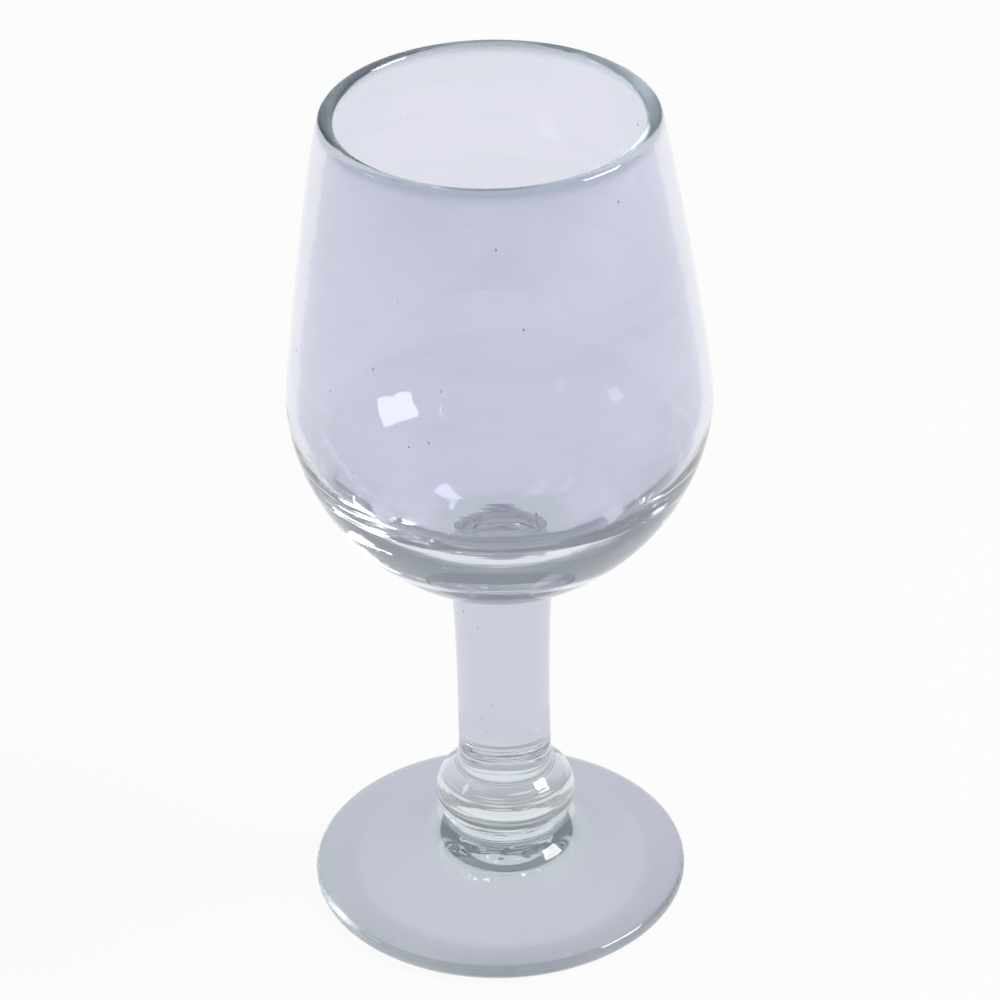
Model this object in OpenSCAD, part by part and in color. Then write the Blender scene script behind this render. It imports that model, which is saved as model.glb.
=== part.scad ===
// Tulip drinking glass: four gathers of clear glass joined hot, one on top of the other.
// Millimetres, +Z up. Origin at the centre of the plane the foot rests on.

/* [Overall] */
// Height from the resting plane to the top of the rim
total_h = 180; // [165:1:200]

/* [Bowl] */
// Outside diameter at the belly, the widest place
bowl_d = 85.4; // [78:0.2:96]
// Outside diameter at the rim
rim_d = 66.8; // [58:0.2:74]
// Height of the bowl from the weld under it to the rim
bowl_h = 104; // [94:1:112]
// Share of the bowl's height that lies below the belly
belly_share = 0.4; // [0.34:0.01:0.46]
// Roundness of the lower half outside, 2 is a true ellipse
belly_round = 1.83; // [1.7:0.01:2.2]
// Wall thickness at the belly
wall_t = 2.5; // [2:0.1:4]
// Thickness of the fire-rounded lip
lip_t = 3.3; // [2.4:0.1:4.4]
// Inward lean of the wall just under the lip, in degrees
lip_lean = 24; // [12:1:32]
// Thickness of the glass between the weld and the inside
base_t = 13; // [8:0.5:16]

/* [Stem] */
// Diameter of the stem at mid height
stem_d = 19.5; // [16:0.1:21]
// Diameter of the stem under the bowl's flare
stem_top_d = 20.9; // [17.5:0.1:21.4]
// Diameter of the stem above the knop
stem_low_d = 19.7; // [16.5:0.1:20.6]
// Diameter of the weld between stem and bowl
seat_d = 22.4; // [21.6:0.1:26]

/* [Knop] */
// Diameter of the knop
knop_d = 29.6; // [27.4:0.1:36]
// Height of the knop, as if its ball were whole
knop_h = 20.8; // [17:0.2:24]

/* [Foot] */
// Diameter of the foot
foot_d = 79; // [70:0.5:92]
// Thickness of the foot's rounded edge
edge_t = 3.5; // [2.4:0.1:5]
// Rise of the foot towards its hub, in degrees
foot_rise = 18; // [14:0.5:20]
// Height of the weld between foot and knop
hub_h = 15.8; // [14.6:0.1:18]
// Diameter of the weld between foot and knop
hub_d = 25.6; // [22:0.1:26.6]
// Width of the flat ring the foot rests on
ring_w = 4.5; // [2:0.5:8]
// Hollow under the foot, at its centre
kick_h = 4; // [2:0.1:5]

/* [Hidden] */
// Facets round the axis and steps along a curve
round_fn = 120;
curve_steps = 24;
lip_steps = 12;

// Knop: a ball cut flat at the two welds
knop_r = knop_d / 2;
knop_half = knop_h / 2;
hub_r = hub_d / 2;
weld_lip = 0.85;
stem_foot_r = stem_low_d / 2 + weld_lip;
low_a = acos(hub_r / knop_r);
top_a = acos(stem_foot_r / knop_r);
knop_z = hub_h + knop_half * sin(low_a);
stem_z = knop_z + knop_half * sin(top_a);

// Bowl levels and lip
bowl_z = total_h - bowl_h;
bowl_r = bowl_d / 2;
seat_r = seat_d / 2;
belly_z = bowl_z + bowl_h * belly_share;
lip_r = lip_t / 2;
lip_c = [rim_d / 2 - lip_r, total_h - lip_r];
lip_n = [cos(lip_lean), sin(lip_lean)];
lip_dir = [sin(lip_lean), -cos(lip_lean)];
wall_h = lip_c.y - belly_z;
belly_ease = 0.12;
lip_ease = 0.06;
belly_pull = [0, wall_h * belly_ease];
lip_pull = wall_h * lip_ease;

// Outside of the bowl's lower half, run on below the weld to where it would close
seat_a = acos(pow(seat_r / bowl_r, belly_round / 2));
belly_drop = (belly_z - bowl_z) / pow(sin(seat_a), 2 / belly_round);
// Inside of the bowl's lower half
hollow_r = bowl_r - wall_t;
hollow_drop = belly_z - bowl_z - base_t;
hollow_round = 2.15;

// Stem: side curve through the middle diameter, with a small cove at each weld
low_cove = 2.4;
top_cove = 4.2;
stem_low_r = stem_low_d / 2;
stem_top_r = stem_top_d / 2;
stem_pull_r = (stem_d / 2 - (stem_low_r + stem_top_r) / 8) * 4 / 3;
stem_low_z = stem_z + low_cove;
stem_top_z = bowl_z - top_cove;
stem_third = (stem_top_z - stem_low_z) / 3;
low_lean = atan2(knop_half * cos(top_a), knop_r * sin(top_a));
seat_share = seat_r / bowl_r;
seat_steep = pow(seat_share, belly_round - 1) * pow(1 - pow(seat_share, belly_round), 1 / belly_round - 1);
seat_lean = atan(belly_drop / bowl_r * seat_steep);

// Foot: edge, slope and the cove up to the hub
foot_r = foot_d / 2;
edge_r = edge_t / 2;
cove_w = 5.5;
cove_r = hub_r + cove_w;
slope_end = [foot_r - edge_r + edge_r * sin(foot_rise), edge_r + edge_r * cos(foot_rise)];
cove_z = slope_end.y + (slope_end.x - cove_r) * tan(foot_rise);
cove_pull = 3.5;
hub_pull = 2;
hub_lean = atan2(knop_half * cos(low_a), knop_r * sin(low_a));
ring_in = foot_r - edge_r - ring_w;
pontil_r = 7;
pontil_deep = 0.8;

function bezier(p0, p1, p2, p3, t) =
    pow(1 - t, 3) * p0 + 3 * pow(1 - t, 2) * t * p1 + 3 * (1 - t) * pow(t, 2) * p2 + pow(t, 3) * p3;

// Points of a curve that carries on from p0, so p0 itself is left out
function curve(p0, p1, p2, p3) =
    [for (i = [1:curve_steps]) bezier(p0, p1, p2, p3, i / curve_steps)];

// Points of the belly's lower half, from angle a0 to a1 below the widest place
function belly(r, drop, roundness, a0, a1) =
    [for (i = [1:curve_steps])
        let (a = a0 + (a1 - a0) * i / curve_steps)
        [r * pow(cos(a), 2 / roundness), belly_z - drop * pow(sin(a), 2 / roundness)]];

// Points of an arc about c, from step first on
function arc(c, rx, rz, a0, a1, steps, first = 0) =
    [for (i = [first:steps])
        let (a = a0 + (a1 - a0) * i / steps)
        c + [rx * cos(a), rz * sin(a)]];

module turned(outline) {
    rotate_extrude($fn = round_fn)
        polygon(outline);
}

module foot() {
    hub_edge = [hub_r, hub_h];
    cove_end = [cove_r, cove_z];
    hub_dir = [-cos(hub_lean), -sin(hub_lean)];
    cove_dir = [-cos(foot_rise), sin(foot_rise)];
    ring_edge = [ring_in, 0];
    kick_edge = [pontil_r, kick_h];
    color([0.80, 0.82, 0.88])
        turned(concat(
            [[0, hub_h], hub_edge],
            curve(hub_edge, hub_edge + hub_pull * hub_dir, cove_end + cove_pull * cove_dir, cove_end),
            arc([foot_r - edge_r, edge_r], edge_r, edge_r, 90 - foot_rise, -90, lip_steps),
            [ring_edge],
            curve(ring_edge, ring_edge + [-ring_in / 3, 0], kick_edge + [ring_in / 3, 0], kick_edge),
            curve(kick_edge, kick_edge + [-pontil_r / 3, pontil_deep], [pontil_r / 2, kick_h + pontil_deep],
                [0, kick_h + pontil_deep])
        ));
}

module knop() {
    color([0.78, 0.84, 0.84])
        turned(concat(
            [[0, hub_h]],
            arc([0, knop_z], knop_r, knop_half, -low_a, top_a, curve_steps),
            [[0, stem_z]]
        ));
}

module stem() {
    low_edge = [stem_foot_r, stem_z];
    low_side = [stem_low_r, stem_low_z];
    top_side = [stem_top_r, stem_top_z];
    top_edge = [seat_r, bowl_z];
    low_dir = [-cos(low_lean), sin(low_lean)];
    seat_dir = [-cos(seat_lean), -sin(seat_lean)];
    color([0.84, 0.85, 0.91])
        turned(concat(
            [[0, stem_z], low_edge],
            curve(low_edge, low_edge + weld_lip / 2 * low_dir, low_side - [0, low_cove / 2], low_side),
            curve(low_side, [stem_pull_r, stem_low_z + stem_third], [stem_pull_r, stem_top_z - stem_third],
                top_side),
            curve(top_side, top_side + [0, top_cove / 2], top_edge + top_cove / 4 * seat_dir, top_edge),
            [[0, bowl_z]]
        ));
}

module bowl() {
    belly_out = [bowl_r, belly_z];
    belly_in = [hollow_r, belly_z];
    lip_out = lip_c + lip_r * lip_n;
    lip_in = lip_c - lip_r * lip_n;
    color([0.86, 0.87, 0.93])
        turned(concat(
            [[0, bowl_z], [seat_r, bowl_z]],
            belly(bowl_r, belly_drop, belly_round, seat_a, 0),
            curve(belly_out, belly_out + belly_pull, lip_out + lip_pull * lip_dir, lip_out),
            arc(lip_c, lip_r, lip_r, lip_lean, lip_lean + 180, lip_steps, 1),
            curve(lip_in, lip_in + lip_pull * lip_dir, belly_in + belly_pull, belly_in),
            belly(hollow_r, hollow_drop, hollow_round, 0, 90)
        ));
}

foot();
knop();
stem();
bowl();
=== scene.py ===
import math
import random

import bmesh
import bpy
from mathutils import Matrix, Vector, noise
from mathutils.bvhtree import BVHTree


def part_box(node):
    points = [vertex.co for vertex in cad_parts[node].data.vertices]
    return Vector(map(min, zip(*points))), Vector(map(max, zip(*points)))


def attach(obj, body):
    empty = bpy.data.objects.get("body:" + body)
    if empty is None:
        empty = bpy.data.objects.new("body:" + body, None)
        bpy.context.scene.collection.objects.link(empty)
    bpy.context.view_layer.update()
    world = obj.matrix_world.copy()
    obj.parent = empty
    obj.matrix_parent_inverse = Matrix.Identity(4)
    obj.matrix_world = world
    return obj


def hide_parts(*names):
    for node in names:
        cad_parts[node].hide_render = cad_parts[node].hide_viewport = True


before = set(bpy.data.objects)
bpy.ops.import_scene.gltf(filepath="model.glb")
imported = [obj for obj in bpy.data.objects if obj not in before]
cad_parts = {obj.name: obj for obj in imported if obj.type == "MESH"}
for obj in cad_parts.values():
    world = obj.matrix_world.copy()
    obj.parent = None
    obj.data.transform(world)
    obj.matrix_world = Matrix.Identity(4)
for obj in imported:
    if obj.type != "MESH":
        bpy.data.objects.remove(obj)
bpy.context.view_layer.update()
scene = bpy.context.scene
scene.view_settings.view_transform = "Standard"


def smoothStep(low, high, value):
    t = min(max((value - low) / (high - low), 0.0), 1.0)
    return t * t * (3 - 2 * t)


def newTree(name):
    material = bpy.data.materials.new(name)
    material.use_nodes = True
    tree = material.node_tree
    return material, tree, tree.nodes["Principled BSDF"]


def addMath(tree, operation, *values):
    node = tree.nodes.new("ShaderNodeMath")
    node.operation = operation
    for socket, value in zip(node.inputs, values):
        if isinstance(value, (int, float)):
            socket.default_value = value
        else:
            tree.links.new(value, socket)
    return node.outputs[0]


def addRamp(tree, value, start, end):
    node = tree.nodes.new("ShaderNodeMapRange")
    node.interpolation_type = "SMOOTHSTEP"
    tree.links.new(value, node.inputs["Value"])
    node.inputs["From Min"].default_value = start
    node.inputs["From Max"].default_value = end
    return node.outputs["Result"]


def addMix(tree, factor, under, over):
    node = tree.nodes.new("ShaderNodeMix")
    node.data_type = "RGBA"
    tree.links.new(factor, node.inputs["Factor"])
    for socket, value in (("A", under), ("B", over)):
        if isinstance(value, tuple):
            node.inputs[socket].default_value = (*value, 1)
        else:
            tree.links.new(value, node.inputs[socket])
    return node.outputs["Result"]


def addNoise(tree, coordinate, scale, detail, stretch=(1, 1, 1), turn=(0, 0, 0)):
    mapping = tree.nodes.new("ShaderNodeMapping")
    mapping.inputs["Scale"].default_value = stretch
    mapping.inputs["Rotation"].default_value = turn
    tree.links.new(coordinate, mapping.inputs["Vector"])
    node = tree.nodes.new("ShaderNodeTexNoise")
    node.inputs["Scale"].default_value = scale
    node.inputs["Detail"].default_value = detail
    tree.links.new(mapping.outputs["Vector"], node.inputs["Vector"])
    return node.outputs["Fac"]


# what every gather of this glass shows: cloudy tint, drawn-out cords, soft waves
meltSettings = {
    "index": 1.52,
    "cloudScale": 38.0,
    "cloudDetail": 2.0,
    "cloudSpan": (0.35, 0.75),
    "cloudShare": 0.12,
    "cordScale": 55.0,
    "cordDetail": 3.0,
    "cordSpan": (0.52, 0.7),
    "cordStretch": (0.35, 0.35, 5.0),
    "cordTurn": (0.3, 0.12, 0.0),
    "waveScale": 70.0,
    "waveDetail": 1.0,
    "wipeScale": 26.0,
    "wipeDetail": 4.0,
    "wipeSpan": (0.55, 0.8),
}
meltInputs = {"Tint": "Color", "Deep": "Color", "Cords": "Float", "Ripple": "Float", "Wipe": "Float"}
meltOutputs = {"Color": "Color", "Roughness": "Float", "Height": "Float"}


def makeMeltGroup():
    own = meltSettings
    group = bpy.data.node_groups.new("meltedGlass", "ShaderNodeTree")
    for way, sockets in (("INPUT", meltInputs), ("OUTPUT", meltOutputs)):
        for name, kind in sockets.items():
            group.interface.new_socket(name, in_out=way, socket_type="NodeSocket" + kind)
    inside = group.nodes.new("NodeGroupInput").outputs
    outside = group.nodes.new("NodeGroupOutput").inputs
    place = group.nodes.new("ShaderNodeTexCoord").outputs["Object"]
    cloud = addNoise(group, place, own["cloudScale"], own["cloudDetail"])
    cord = addNoise(group, place, own["cordScale"], own["cordDetail"], own["cordStretch"], own["cordTurn"])
    wave = addNoise(group, place, own["waveScale"], own["waveDetail"])
    wipe = addNoise(group, place, own["wipeScale"], own["wipeDetail"])
    cordLine = addMath(group, "MULTIPLY", addRamp(group, cord, *own["cordSpan"]), inside["Cords"])
    cloudy = addRamp(group, cloud, *own["cloudSpan"])
    depth = addMath(group, "MULTIPLY_ADD", cloudy, own["cloudShare"], cordLine)
    wiped = addMath(group, "MULTIPLY", addRamp(group, wipe, *own["wipeSpan"]), inside["Wipe"])
    group.links.new(addMix(group, depth, inside["Tint"], inside["Deep"]), outside["Color"])
    group.links.new(wiped, outside["Roughness"])
    group.links.new(addMath(group, "MULTIPLY_ADD", cord, inside["Ripple"], wave), outside["Height"])
    return group


meltGroup = makeMeltGroup()

# bands run along height or radius in metres: the tint turns into their colour between the two places
glassSettings = {
    "bowl": {"clear": (0.785, 0.79, 0.875), "deep": (0.50, 0.57, 0.60),
             "bands": [("height", 0.1772, 0.1795, (0.47, 0.54, 0.59)),
                       ("height", 0.080, 0.077, (0.60, 0.66, 0.68))],
             "cords": 0.08, "ripple": 0.8, "wipe": 0.02, "bump": 0.00006},
    "stem": {"clear": (0.60, 0.61, 0.70), "deep": (0.52, 0.58, 0.60),
             "bands": [("height", 0.034, 0.029, (0.56, 0.62, 0.63))],
             "cords": 0.08, "ripple": 0.3, "wipe": 0.02, "bump": 0.00004},
    "knop": {"clear": (0.97, 0.985, 0.99), "deep": (0.70, 0.77, 0.77), "bands": [],
             "cords": 0.5, "ripple": 2.0, "wipe": 0.02, "bump": 0.0002},
    "foot": {"clear": (0.63, 0.64, 0.735), "deep": (0.52, 0.58, 0.62),
             "bands": [("radius", 0.0370, 0.0393, (0.60, 0.66, 0.69)),
                       # painted shade: the foot's heart turns darker and greener, standing for the floor's
                       # shadow under the foot seen through it
                       ("radius", 0.0185, 0.0130, (0.62, 0.69, 0.70))],
             "cords": 0.08, "ripple": 0.3, "wipe": 0.03, "bump": 0.00005, "worn": 0.3, "wornHeight": 0.0004},
}


def makeGlass(name):
    own = glassSettings[name]
    material, tree, shader = newTree(name + "Glass")
    place = tree.nodes.new("ShaderNodeTexCoord").outputs["Object"]
    split = tree.nodes.new("ShaderNodeSeparateXYZ")
    tree.links.new(place, split.inputs[0])
    across = addMath(tree, "ADD", addMath(tree, "MULTIPLY", split.outputs["X"], split.outputs["X"]),
                     addMath(tree, "MULTIPLY", split.outputs["Y"], split.outputs["Y"]))
    along = {"height": split.outputs["Z"], "radius": addMath(tree, "SQRT", across)}
    tint = own["clear"]
    for axis, start, end, colour in own["bands"]:
        tint = addMix(tree, addRamp(tree, along[axis], start, end), tint, colour)
    melt = tree.nodes.new("ShaderNodeGroup")
    melt.node_tree = meltGroup
    if own["bands"]:
        tree.links.new(tint, melt.inputs["Tint"])
    else:
        melt.inputs["Tint"].default_value = (*tint, 1)
    melt.inputs["Deep"].default_value = (*own["deep"], 1)
    melt.inputs["Cords"].default_value = own["cords"]
    melt.inputs["Ripple"].default_value = own["ripple"]
    melt.inputs["Wipe"].default_value = own["wipe"]
    bump = tree.nodes.new("ShaderNodeBump")
    bump.inputs["Strength"].default_value = 1.0
    bump.inputs["Distance"].default_value = own["bump"]
    tree.links.new(melt.outputs["Height"], bump.inputs["Height"])
    roughness = melt.outputs["Roughness"]
    if "worn" in own:  # the ring that slides on tables
        low = addRamp(tree, along["height"], own["wornHeight"], 0.0)
        rubbed = addMath(tree, "MULTIPLY", low, own["worn"])
        roughness = addMath(tree, "MAXIMUM", roughness, rubbed)
    tree.links.new(melt.outputs["Color"], shader.inputs["Base Color"])
    tree.links.new(roughness, shader.inputs["Roughness"])
    tree.links.new(bump.outputs["Normal"], shader.inputs["Normal"])
    shader.inputs["IOR"].default_value = meltSettings["index"]
    shader.inputs["Transmission Weight"].default_value = 1.0
    return material


# the welds lie inside clear glass: the lower ones show nothing, the bowl's keeps a faint grey film, partly
# painted shade that darkens the view down the stem to the shadowed floor under the foot
seamSettings = {"color": (0.20, 0.27, 0.25), "roughness": 0.6, "alpha": {"fusedSeam": 0.0, "weldShadeFilm": 0.32}}


def makeSeam(name):
    own = seamSettings
    material, _, shader = newTree(name)
    shader.inputs["Base Color"].default_value = (*own["color"], 1)
    shader.inputs["Roughness"].default_value = own["roughness"]
    shader.inputs["Alpha"].default_value = own["alpha"][name]
    return material


seams = {name: makeSeam(name) for name in seamSettings["alpha"]}
print("materials made")

# hand-made unevenness: the rim leans off the axis, the foot was dropped on a little off centre
handSettings = {
    "rimShift": -0.0009,
    "rimFrom": 0.1176,
    "rimTo": 0.180,
    "stemShift": -0.00035,
    "stemFrom": 0.076,
    "stemTo": 0.100,
    "footShift": -0.0014,
    "footFrom": 0.0135,
    "footTo": 0.0395,
    "pontilTop": 0.007,
    "pontilEdge": 0.0085,
    "pontilRough": 0.0007,
    "pontilGrain": 0.0019,
    "axisEase": 0.01,  # radius within which the waves fade out
    "waves": [(0.00014, 0.028), (0.00003, 0.0055)],  # depth and length, always inwards
}
turnSettings = {
    "steps": 96,
    "levels": 1,
    "sameGap": 1e-6,  # points closer than this are one
    "cutGap": 1e-7,
    "rayStep": 1e-5,
    "filmLift": 5e-6,
}

# seeds: small bubbles caught in each gather, drawn out a little along the wall
seedSettings = {
    "bowl": {"count": 22, "radius": (0.00012, 0.00032), "stretch": 1.9,
             "heights": (0.092, 0.172), "inset": (0.35, 0.65)},
    "stem": {"count": 10, "radius": (0.00010, 0.00024), "stretch": 2.2,
             "heights": (0.034, 0.072), "inset": (0.30, 0.92)},
    "knop": {"count": 9, "radius": (0.00012, 0.00030), "stretch": 0.8,
             "heights": (0.018, 0.026), "inset": (0.20, 0.90)},
    "foot": {"count": 10, "radius": (0.00010, 0.00024), "stretch": 0.6,
             "heights": (0.0016, 0.0030), "inset": (0.30, 0.80)},
}


def handMade(co, name):
    own = handSettings
    radius = math.hypot(co.x, co.y)
    dent = sum(depth * (0.5 + 0.5 * noise.noise(co / length)) for depth, length in own["waves"])
    if radius > turnSettings["sameGap"]:
        shrink = 1 - dent * smoothStep(0.0, own["axisEase"], radius) / radius
        co.x *= shrink
        co.y *= shrink
    if name == "foot" and co.z < own["pontilTop"]:
        rough = own["pontilRough"] * noise.noise(co / own["pontilGrain"])
        co.z += rough * smoothStep(own["pontilEdge"], 0.0, radius)
    if name == "foot":
        co.x += own["footShift"] * smoothStep(own["footFrom"], own["footTo"], radius)
    co.x += own["rimShift"] * smoothStep(own["rimFrom"], own["rimTo"], co.z)
    co.x += own["stemShift"] * (1 - smoothStep(own["stemFrom"], own["stemTo"], co.z))


def addSeeds(bm, name):
    own = seedSettings[name]
    dice = random.Random(name)
    tree = BVHTree.FromBMesh(bm)
    for _ in range(own["count"]):
        angle = dice.uniform(0, 2 * math.pi)
        outward = Vector((math.cos(angle), math.sin(angle), 0))
        start = Vector((0, 0, dice.uniform(*own["heights"])))
        first = tree.ray_cast(start, outward)[0]
        second = tree.ray_cast(first + outward * turnSettings["rayStep"], outward)[0]
        inner, outer = (first, second) if second else (start, first)
        place = inner.lerp(outer, dice.uniform(*own["inset"]))
        radius = dice.uniform(*own["radius"])
        shape = Matrix.Translation(place) @ Matrix.Diagonal((radius, radius, radius * own["stretch"], 1))
        seed = bmesh.ops.create_icosphere(bm, subdivisions=1, radius=1.0, matrix=shape)["verts"]
        seedFaces = {face for vert in seed for face in vert.link_faces}
        bmesh.ops.reverse_faces(bm, faces=list(seedFaces))  # a hollow


def turnPiece(name):
    low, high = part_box(name)
    cuts = {"foot": [high[2]], "knop": [low[2], high[2]], "stem": [low[2], high[2]], "bowl": [low[2]]}[name]
    bm = bmesh.new()
    bm.from_mesh(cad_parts[name].data)
    bmesh.ops.remove_doubles(bm, verts=bm.verts, dist=turnSettings["sameGap"])
    for normal, outlineOnly in (((1, 0, 0), False), ((0, 1, 0), True)):  # half the solid, then its outline
        bmesh.ops.bisect_plane(bm, geom=bm.verts[:] + bm.edges[:] + bm.faces[:], dist=turnSettings["cutGap"],
                               plane_co=(0, 0, 0), plane_no=normal, clear_inner=True, clear_outer=outlineOnly)
    print(name, "outline points", len(bm.verts), "edges", len(bm.edges))
    bmesh.ops.spin(bm, geom=bm.verts[:] + bm.edges[:], axis=(0, 0, 1), cent=(0, 0, 0), angle=2 * math.pi,
                   steps=turnSettings["steps"], use_merge=True, use_duplicate=False)
    bmesh.ops.remove_doubles(bm, verts=bm.verts, dist=turnSettings["sameGap"])
    bmesh.ops.recalc_face_normals(bm, faces=bm.faces)
    crease = bm.edges.layers.float.new("crease_edge")
    for face in bm.faces:
        flat = any(all(abs(v.co.z - z) < turnSettings["sameGap"] for v in face.verts) for z in cuts)
        face.material_index = int(flat)
    for edge in bm.edges:
        slots = {face.material_index for face in edge.link_faces}
        if len(edge.link_faces) == 2 and len(slots) == 2:
            edge.smooth = False
            edge[crease] = 1.0
    if name == "bowl":  # its film mustn't share a plane with the stem's end
        for vert in bm.verts:
            if vert.co.z - low[2] < turnSettings["sameGap"]:
                vert.co.z += turnSettings["filmLift"]
    addSeeds(bm, name)
    for vert in bm.verts:
        handMade(vert.co, name)
    for face in bm.faces:
        face.smooth = True
    mesh = bpy.data.meshes.new(name + "Glass")
    bm.to_mesh(mesh)
    bm.free()
    piece = bpy.data.objects.new(name + "Glass", mesh)
    scene.collection.objects.link(piece)
    mesh.materials.append(makeGlass(name))
    # the bowl's weld takes the grey film of painted shade, the lower welds show nothing
    mesh.materials.append(seams["weldShadeFilm" if name == "bowl" else "fusedSeam"])
    smooth = piece.modifiers.new("smooth", "SUBSURF")
    smooth.levels = smooth.render_levels = turnSettings["levels"]
    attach(piece, "root")
    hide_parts(name)


for name in ("foot", "knop", "stem", "bowl"):
    turnPiece(name)
print("pieces turned")

# stage
stageSettings = {
    "floorSize": 12,
    "floorDrop": 0.0002,
    "floorRough": 0.9,
    "floorShine": 0.1,
    "floorColor": (0.995, 0.995, 1.0),
    "floorGlow": 0.93,  # share of the floor's white that isn't lit by the lamps
    "farGlow": 0.25,
    "paintedFloorPool": (1.2, 0.58),  # painted pool of light: distances from the glass between which the floor goes from far to near glow
    "roomFront": (0.22, 0.23, 0.24),
    "roomSide": (0.26, 0.29, 0.32),
    "roomBack": [(0.0, 0.50), (0.10, 0.42), (0.24, 0.34), (0.70, 0.35), (1.0, 0.42)],  # height, brightness
    "roomCast": (0.84, 0.96, 1.0),
    "frontSpan": (0.1, -0.3),  # directions along Y and X between which the room turns
    "sideSpan": (0.6, 0.9),
}
floorAt = (0, 0, -stageSettings["floorDrop"])
bpy.ops.mesh.primitive_plane_add(size=stageSettings["floorSize"], location=floorAt)
floor = bpy.context.object
floorMaterial, floorTree, floorShader = newTree("floorPaper")
floorShader.inputs["Base Color"].default_value = (*stageSettings["floorColor"], 1)
floorShader.inputs["Roughness"].default_value = stageSettings["floorRough"]
floorShader.inputs["Specular IOR Level"].default_value = stageSettings["floorShine"]
rayKind = floorTree.nodes.new("ShaderNodeLightPath").outputs
direct = addMath(floorTree, "ADD", rayKind["Is Camera Ray"], rayKind["Is Glossy Ray"])
seen = addMath(floorTree, "ADD", direct, rayKind["Is Transmission Ray"])
floorPlace = floorTree.nodes.new("ShaderNodeVectorMath")
floorPlace.operation = "LENGTH"
floorTree.links.new(floorTree.nodes.new("ShaderNodeTexCoord").outputs["Object"], floorPlace.inputs[0])
# painted pool of light: the floor's glow, seen by camera and glass, is brighter near the glass and fades to
# farGlow far off
paintedPool = addRamp(floorTree, floorPlace.outputs["Value"], *stageSettings["paintedFloorPool"])
paintedPoolShare = addMath(floorTree, "MULTIPLY_ADD", paintedPool, stageSettings["floorGlow"] - stageSettings["farGlow"],
                    stageSettings["farGlow"])
seenShare = addMath(floorTree, "MULTIPLY", addMath(floorTree, "MINIMUM", seen, 1.0), paintedPoolShare)
glow = floorTree.nodes.new("ShaderNodeEmission")
glow.inputs["Color"].default_value = (*stageSettings["floorColor"], 1)
floorMix = floorTree.nodes.new("ShaderNodeMixShader")
floorTree.links.new(seenShare, floorMix.inputs[0])
floorTree.links.new(floorShader.outputs[0], floorMix.inputs[1])
floorTree.links.new(glow.outputs[0], floorMix.inputs[2])
floorTree.links.new(floorMix.outputs[0], floorTree.nodes["Material Output"].inputs["Surface"])
floor.data.materials.append(floorMaterial)

world = bpy.data.worlds.new("studio")
scene.world = world
world.use_nodes = True
sky = world.node_tree
skySplit = sky.nodes.new("ShaderNodeSeparateXYZ")
sky.links.new(sky.nodes.new("ShaderNodeTexCoord").outputs["Generated"], skySplit.inputs[0])
backRamp = sky.nodes.new("ShaderNodeValToRGB")
sky.links.new(skySplit.outputs["Z"], backRamp.inputs["Fac"])
stops = backRamp.color_ramp.elements
while len(stops) < len(stageSettings["roomBack"]):
    stops.new(0.5)
for stop, (height, brightness) in zip(stops, stageSettings["roomBack"]):
    stop.position = height
    stop.color = (*(brightness * cast for cast in stageSettings["roomCast"]), 1)
toFront = addRamp(sky, skySplit.outputs["Y"], *stageSettings["frontSpan"])
toSide = addRamp(sky, addMath(sky, "ABSOLUTE", skySplit.outputs["X"]), *stageSettings["sideSpan"])
room = addMix(sky, toFront, backRamp.outputs["Color"], stageSettings["roomFront"])
room = addMix(sky, toSide, room, stageSettings["roomSide"])
sky.links.new(room, sky.nodes["Background"].inputs["Color"])


def aimed(at, aim, turn):
    facing = (Vector(aim) - Vector(at)).to_track_quat("-Z", "Y").to_matrix().to_4x4()
    return Matrix.Translation(at) @ (facing @ Matrix.Rotation(math.radians(turn), 4, "Z"))


lampSettings = {
    "rightWindow": {"at": (1.15, -0.05, 1.12), "aim": (0, 0, 0.1), "size": 0.59, "power": 15, "turn": 50},
    "leftWindow": {"at": (-1.15, -0.06, 0.80), "aim": (0, 0, 0.1), "size": 0.2, "power": 0.55, "turn": -15},
}
for name, own in lampSettings.items():
    lampData = bpy.data.lights.new(name, "AREA")
    lampData.shape = "SQUARE"
    lampData.size = own["size"]
    lampData.energy = own["power"]
    lamp = bpy.data.objects.new(name, lampData)
    scene.collection.objects.link(lamp)
    lamp.matrix_world = aimed(own["at"], own["aim"], own["turn"])
print("stage lit")

# camera
cameraSettings = {
    "at": (-0.00035, -0.6908, 0.525),
    "aim": (-0.00035, 0, 0.0926),
    "roll": 1.1,
    "lens": 144.9,
    "sensor": 36,
    "clip": 0.05,
    "bounces": 64,  # light crosses many faces of clear glass
    "seamBounces": 32,
}
cameraData = bpy.data.cameras.new("photoCamera")
cameraData.lens = cameraSettings["lens"]
cameraData.sensor_width = cameraSettings["sensor"]
cameraData.clip_start = cameraSettings["clip"]
camera = bpy.data.objects.new("photoCamera", cameraData)
scene.collection.objects.link(camera)
camera.matrix_world = aimed(cameraSettings["at"], cameraSettings["aim"], -cameraSettings["roll"])
scene.camera = camera
cycles = scene.cycles
cycles.max_bounces = cameraSettings["bounces"]
cycles.transmission_bounces = cameraSettings["bounces"]
cycles.glossy_bounces = cameraSettings["bounces"]
cycles.transparent_max_bounces = cameraSettings["seamBounces"]
print("camera set")
